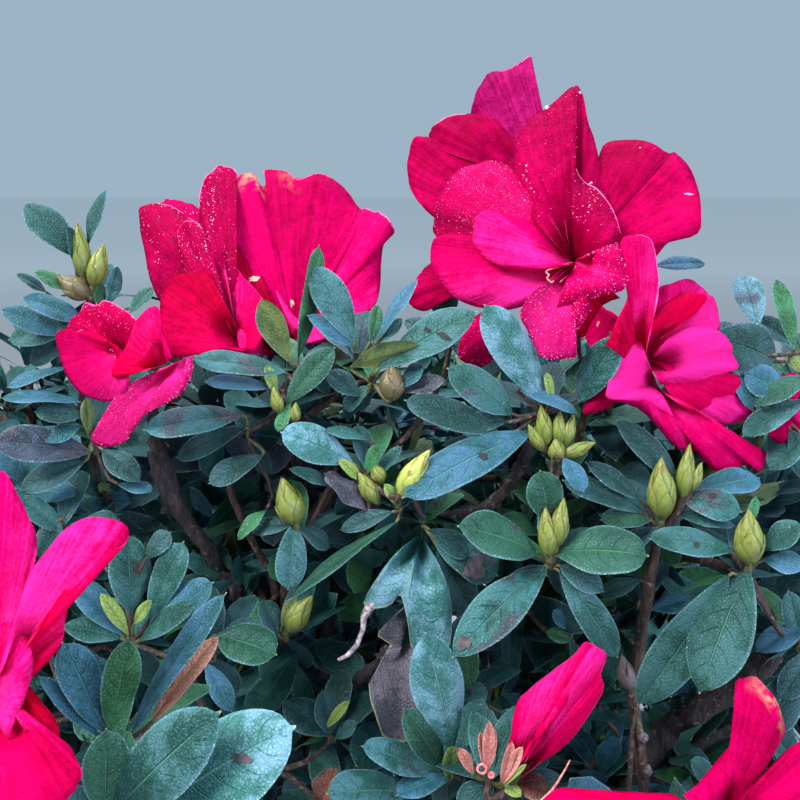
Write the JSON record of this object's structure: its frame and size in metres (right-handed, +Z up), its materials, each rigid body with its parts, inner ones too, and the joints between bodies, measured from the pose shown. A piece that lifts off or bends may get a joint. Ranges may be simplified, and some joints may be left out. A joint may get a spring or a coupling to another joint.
{
  "type": "azalea shrub",
  "caption": "Low dense evergreen shrub with a short flared trunk, vase-shaped boughs, rounded masses of small leaves and large ruffled crimson blooms.",
  "frame": {"origin": "middle of the flat cut under the trunk, at ground level", "axes": "+Z up; the side with most blooms faces -Y, and +X is to the right as that side is looked at"},
  "size_m": [0.5387, 0.5466, 0.4638],
  "materials": {
    "bark": "rough dark grey-brown bark with fine lengthwise cracks",
    "foliage": "dark green slightly hairy leaves with a cool sheen and paler midribs",
    "blossom": "soft crimson-magenta petals, wrinkled along their veins"
  },
  "bodies": {
    "root": {"trunk": "bark", "stem_middle": "bark", "stem_front_left": "bark", "stem_front_right": "bark", "stem_back_left": "bark", "stem_back_right": "bark", "bough_front": "bark", "bough_fore": "bark", "bough_low_left": "bark", "bough_right": "bark", "bough_low_front": "bark", "bough_low_right": "bark", "bough_top_left": "bark", "bough_side_left": "bark", "bough_side_right": "bark", "bough_back": "bark", "bough_low_back_left": "bark", "bough_low_back_right": "bark", "leaves_front": "foliage", "leaves_front_right": "foliage", "leaves_front_left": "foliage", "leaves_right": "foliage", "leaves_fore": "foliage", "leaves_low_front": "foliage", "leaves_top_left": "foliage", "leaves_top_right": "foliage", "leaves_side_left": "foliage", "leaves_side_right": "foliage", "leaves_low_left": "foliage", "leaves_low_right": "foliage", "leaves_back_left": "foliage", "leaves_back_right": "foliage", "leaves_back": "foliage", "leaves_low_back_left": "foliage", "leaves_low_back_right": "foliage", "bloom_main": "blossom", "bloom_right": "blossom", "bloom_fan": "blossom", "bloom_left": "blossom", "bloom_drooping": "blossom", "bloom_fore": "blossom", "bloom_low": "blossom", "bloom_top": "blossom", "bloom_side_right": "blossom", "bloom_side_left": "blossom", "bloom_back_left": "blossom", "bloom_back_right": "blossom", "bloom_back": "blossom", "bloom_low_left": "blossom", "bud_furled": "blossom"}
  },
  "joints": []
}
